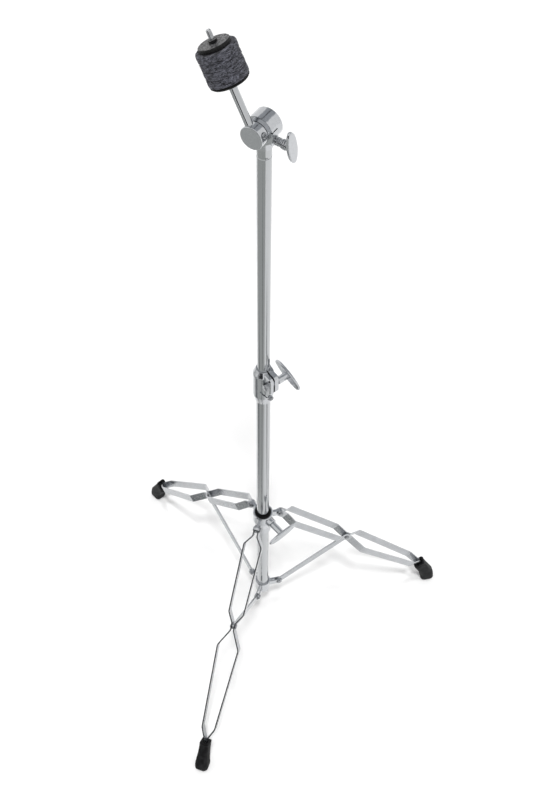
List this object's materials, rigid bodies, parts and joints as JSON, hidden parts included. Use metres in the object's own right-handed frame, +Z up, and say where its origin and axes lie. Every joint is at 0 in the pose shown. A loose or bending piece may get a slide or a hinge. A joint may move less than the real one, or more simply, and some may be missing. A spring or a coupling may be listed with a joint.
{
  "type": "straight cymbal stand",
  "caption": "Straight cymbal stand with a folding double-braced tripod, a two-stage chromed post, wing screws and a tilting felted cymbal arm.",
  "frame": {"origin": "where the post's centre line meets the floor", "axes": "+Z up along the post; the front leg points along -Y and the other two lie 30 degrees behind +X and -X"},
  "size_m": [0.6396, 0.5563, 1.3879],
  "materials": {
    "chrome": "polished",
    "plated_steel": "satin",
    "black_rubber": "matte",
    "black_plastic": "satin",
    "dark_nylon": "matte",
    "grey_felt": "matte"
  },
  "bodies": {
    "post_foot": {"lower_tube": "chrome", "lower_collar": "chrome", "collar_rivets": "plated_steel", "clamp_body": "chrome", "clamp_nut": "plated_steel", "clamp_set_screw": "plated_steel"},
    "hub": {"hub_casting": "chrome", "hub_bushing": "black_plastic", "hub_rivets": "plated_steel"},
    "front_leg": {"front_leg_strip_a": "chrome", "front_leg_strip_b": "chrome", "front_joint_rivet": "plated_steel", "front_rubber_foot": "black_rubber"},
    "front_stay_bar": {"front_stay": "chrome"},
    "right_leg": {"right_leg_strip_a": "chrome", "right_leg_strip_b": "chrome", "right_joint_rivet": "plated_steel", "right_rubber_foot": "black_rubber"},
    "right_stay_bar": {"right_stay": "chrome"},
    "left_leg": {"left_leg_strip_a": "chrome", "left_leg_strip_b": "chrome", "left_joint_rivet": "plated_steel", "left_rubber_foot": "black_rubber"},
    "left_stay_bar": {"left_stay": "chrome"},
    "hub_screw": {"hub_wing_screw": "chrome"},
    "clamp_screw": {"clamp_wing_screw": "chrome"},
    "insert": {"clamp_insert": "dark_nylon"},
    "mast": {"upper_tube": "chrome", "tilter_housing": "chrome", "tilter_brake_shoe": "dark_nylon", "tilter_neck_pin": "plated_steel", "tilter_end_cap": "chrome"},
    "tilter_screw": {"tilter_wing_screw": "chrome"},
    "arm": {"rod_holder": "chrome", "tilter_brake_drum": "plated_steel", "tilter_pivot_washer": "plated_steel", "tilter_pivot_bolt": "plated_steel", "arm_set_screw": "plated_steel", "cymbal_rod": "chrome", "seat_washer": "black_plastic", "cymbal_sleeve": "black_plastic", "felt_1": "grey_felt", "felt_2": "grey_felt", "felt_3": "grey_felt", "felt_4": "grey_felt"},
    "top_nut_disc": {"top_nut": "black_plastic"}
  },
  "joints": [
    {"name": "hub_slide", "type": "slide", "parent": "post_foot", "child": "hub", "axis": [0, 0, 1], "range_m": [0, 0.10594]},
    {"name": "front_leg_fold", "type": "hinge", "parent": "hub", "child": "front_leg", "pos_m": [0, -0.032, 0.37099], "axis": [1, 0, 0], "range_deg": [0, 39.66]},
    {"name": "front_stay_fold", "type": "hinge", "parent": "post_foot", "child": "front_stay_bar", "pos_m": [0, -0.032, 0.0991], "axis": [-1, 0, 0], "range_deg": [0, 39.66]},
    {"name": "right_leg_fold", "type": "hinge", "parent": "hub", "child": "right_leg", "pos_m": [0.02771, 0.016, 0.37099], "axis": [-0.5, 0.866, 0], "range_deg": [0, 39.66]},
    {"name": "right_stay_fold", "type": "hinge", "parent": "post_foot", "child": "right_stay_bar", "pos_m": [0.02771, 0.016, 0.0991], "axis": [0.5, -0.866, 0], "range_deg": [0, 39.66]},
    {"name": "left_leg_fold", "type": "hinge", "parent": "hub", "child": "left_leg", "pos_m": [-0.02771, 0.016, 0.37099], "axis": [-0.5, -0.866, 0], "range_deg": [0, 39.66]},
    {"name": "left_stay_fold", "type": "hinge", "parent": "post_foot", "child": "left_stay_bar", "pos_m": [-0.02771, 0.016, 0.0991], "axis": [0.5, 0.866, 0], "range_deg": [0, 39.66]},
    {"name": "hub_screw_turn", "type": "hinge", "parent": "hub", "child": "hub_screw", "pos_m": [0.03464, -0.02, 0.37099], "axis": [0.866, -0.5, 0], "range_deg": [-180, 180]},
    {"name": "clamp_screw_turn", "type": "hinge", "parent": "post_foot", "child": "clamp_screw", "pos_m": [0.01704, -0.01193, 0.79], "axis": [0.5736, 0.8192, 0], "range_deg": [-180, 180]},
    {"name": "mast_swivel", "type": "hinge", "parent": "post_foot", "child": "insert", "pos_m": [0, 0, 0.79], "axis": [0, 0, 1], "continuous": true},
    {"name": "height_slide", "type": "slide", "parent": "insert", "child": "mast", "axis": [0, 0, 1], "range_m": [-0.39, 0.15]},
    {"name": "tilter_screw_turn", "type": "hinge", "parent": "mast", "child": "tilter_screw", "pos_m": [0.02898, -0.00777, 1.2541], "axis": [0.9659, -0.2588, 0], "range_deg": [-180, 180]},
    {"name": "arm_tilt", "type": "hinge", "parent": "mast", "child": "arm", "pos_m": [0, 0, 1.2683], "axis": [0.2588, 0.9659, 0], "range_deg": [-63.4, 116.6]},
    {"name": "top_nut_turn", "type": "hinge", "parent": "arm", "child": "top_nut_disc", "pos_m": [-0.05528, -0.00734, 1.37113], "axis": [-0.4325, 0.1159, 0.8942], "continuous": true}
  ],
  "couplings": [
    {"joint": "front_leg_fold", "follows": "hub_slide", "rad_per_m": 6.534},
    {"joint": "front_stay_fold", "follows": "hub_slide", "rad_per_m": 6.534},
    {"joint": "right_leg_fold", "follows": "hub_slide", "rad_per_m": 6.534},
    {"joint": "right_stay_fold", "follows": "hub_slide", "rad_per_m": 6.534},
    {"joint": "left_leg_fold", "follows": "hub_slide", "rad_per_m": 6.534},
    {"joint": "left_stay_fold", "follows": "hub_slide", "rad_per_m": 6.534}
  ]
}
